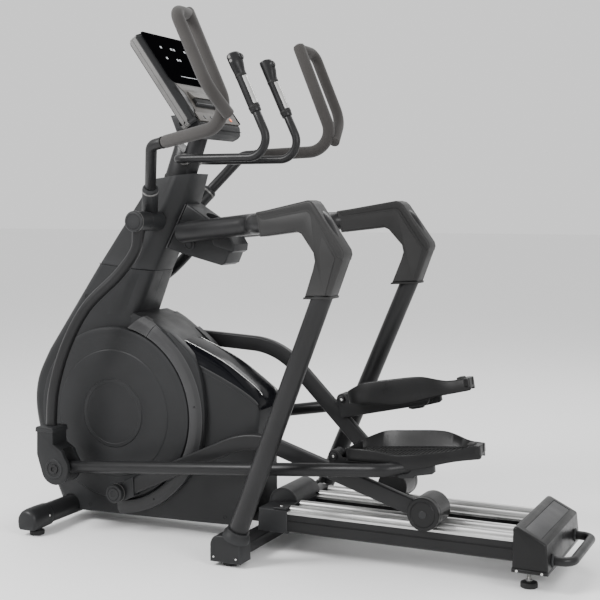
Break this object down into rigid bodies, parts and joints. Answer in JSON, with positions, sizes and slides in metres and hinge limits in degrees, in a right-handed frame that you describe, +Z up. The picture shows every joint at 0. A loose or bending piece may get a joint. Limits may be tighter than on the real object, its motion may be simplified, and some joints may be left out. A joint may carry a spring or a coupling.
{
  "type": "elliptical trainer",
  "caption": "Front-drive elliptical trainer: swing handles and pedals on a crank, rollers running on rear rails, fixed handrails, console and bottle holder.",
  "frame": {"origin": "on the floor, under the middle of the object's box", "axes": "+X to the rear, where the user steps on; +Y to the user's right; +Z up"},
  "size_m": [1.9721, 0.9246, 1.7257],
  "materials": {
    "casing": "fine moulded grain",
    "frame": "satin black powder coat",
    "arch": "satin",
    "gloss": "high gloss",
    "foam": "soft foam",
    "aluminium": "polished",
    "steel": "machined",
    "silver": "metallic satin",
    "rubber": "matte",
    "glass": "black display glass"
  },
  "bodies": {
    "frame": {"left_shell": "casing", "right_shell": "casing", "mast_cover": "casing", "rear_cover": "casing", "bottle_holder": "casing", "spine_frame": "frame", "mast_frame": "frame", "front_stabilizer": "frame", "mid_stabilizer": "frame", "crank_bracket": "frame", "flywheel_bracket": "frame", "rail_front_block": "frame", "rail_beam_left": "frame", "rail_beam_right": "frame", "rear_lift_handle": "frame", "console_post": "frame", "pulse_bar": "frame", "handrail_left": "frame", "handrail_right": "frame", "wheel_arch_left": "arch", "wheel_arch_right": "arch", "top_cover": "gloss", "rail_track_left": "aluminium", "rail_track_right": "aluminium", "swing_axle": "steel", "console_housing": "silver", "pulse_grip_left": "silver", "pulse_grip_right": "silver", "front_foot_left": "rubber", "front_foot_right": "rubber", "rear_foot_left": "rubber", "rear_foot_right": "rubber", "armrest_left": "rubber", "armrest_right": "rubber", "drive_belt": "rubber", "console_display": "glass"},
    "crankset": {"crank_axle": "steel", "crank_arm_left": "steel", "crank_arm_right": "steel", "crank_disc_left": "casing", "crank_disc_right": "casing", "drive_pulley": "silver"},
    "flywheel_rotor": {"flywheel": "steel"},
    "left_swing": {"swing_arm_left": "frame", "swing_handle_left": "frame", "handle_foam_left": "foam"},
    "left_roller_arm": {"roller_arm_left": "frame"},
    "left_wheel": {"roller_wheel_left": "rubber"},
    "left_pedal_arm": {"pedal_arm_left": "frame", "pedal_left": "rubber"},
    "left_button": {"grip_button_left": "rubber"},
    "right_swing": {"swing_arm_right": "frame", "swing_handle_right": "frame", "handle_foam_right": "foam"},
    "right_roller_arm": {"roller_arm_right": "frame"},
    "right_wheel": {"roller_wheel_right": "rubber"},
    "right_pedal_arm": {"pedal_arm_right": "frame", "pedal_right": "rubber"},
    "right_button": {"grip_button_right": "rubber"}
  },
  "joints": [
    {"name": "crank_spin", "type": "hinge", "parent": "frame", "child": "crankset", "pos_m": [-0.622, 0, 0.401], "axis": [0, 1, 0], "continuous": true},
    {"name": "flywheel_spin", "type": "hinge", "parent": "frame", "child": "flywheel_rotor", "pos_m": [-0.27, 0, 0.265], "axis": [0, 1, 0], "continuous": true},
    {"name": "left_swing_pivot", "type": "hinge", "parent": "frame", "child": "left_swing", "pos_m": [-0.452, 0, 1.064], "axis": [0, 1, 0], "range_deg": [-15, 22.9]},
    {"name": "left_roller_travel", "type": "slide", "parent": "frame", "child": "left_roller_arm", "axis": [1, 0, 0], "range_m": [-0.32, 0.21]},
    {"name": "left_pedal_pivot", "type": "hinge", "parent": "left_roller_arm", "child": "left_pedal_arm", "pos_m": [0.2381, 0, 0.34189], "axis": [0, 1, 0], "range_deg": [-5.3, 8]},
    {"name": "left_wheel_roll", "type": "hinge", "parent": "left_roller_arm", "child": "left_wheel", "pos_m": [0.53681, 0, 0.195], "axis": [0, 1, 0], "range_deg": [-540, 354]},
    {"name": "left_button_press", "type": "slide", "parent": "frame", "child": "left_button", "axis": [-0.906, 0, -0.4233], "range_m": [0, 0.0015], "stiffness_N_per_m": 800, "springref_m": -0.0005},
    {"name": "right_swing_pivot", "type": "hinge", "parent": "frame", "child": "right_swing", "pos_m": [-0.452, 0, 1.064], "axis": [0, 1, 0], "range_deg": [-22.9, 15]},
    {"name": "right_roller_travel", "type": "slide", "parent": "frame", "child": "right_roller_arm", "axis": [1, 0, 0], "range_m": [-0.21, 0.32]},
    {"name": "right_pedal_pivot", "type": "hinge", "parent": "right_roller_arm", "child": "right_pedal_arm", "pos_m": [0.1288, 0, 0.46377], "axis": [0, 1, 0], "range_deg": [-7.7, 5.1]},
    {"name": "right_wheel_roll", "type": "hinge", "parent": "right_roller_arm", "child": "right_wheel", "pos_m": [0.3252, 0, 0.195], "axis": [0, 1, 0], "range_deg": [-354, 540]},
    {"name": "right_button_press", "type": "slide", "parent": "frame", "child": "right_button", "axis": [-0.906, 0, -0.4233], "range_m": [0, 0.0015], "stiffness_N_per_m": 800, "springref_m": -0.0005}
  ],
  "couplings": [
    {"joint": "flywheel_spin", "follows": "crank_spin", "ratio": 6.8},
    {"joint": "right_swing_pivot", "follows": "left_swing_pivot", "ratio": -1},
    {"joint": "left_roller_travel", "follows": "left_swing_pivot", "m_per_rad": -0.8},
    {"joint": "right_roller_travel", "follows": "left_swing_pivot", "m_per_rad": 0.8},
    {"joint": "left_pedal_pivot", "follows": "left_swing_pivot", "ratio": 0.347},
    {"joint": "right_pedal_pivot", "follows": "left_swing_pivot", "ratio": -0.331},
    {"joint": "left_wheel_roll", "follows": "left_swing_pivot", "ratio": -23.53},
    {"joint": "right_wheel_roll", "follows": "left_swing_pivot", "ratio": 23.53}
  ]
}
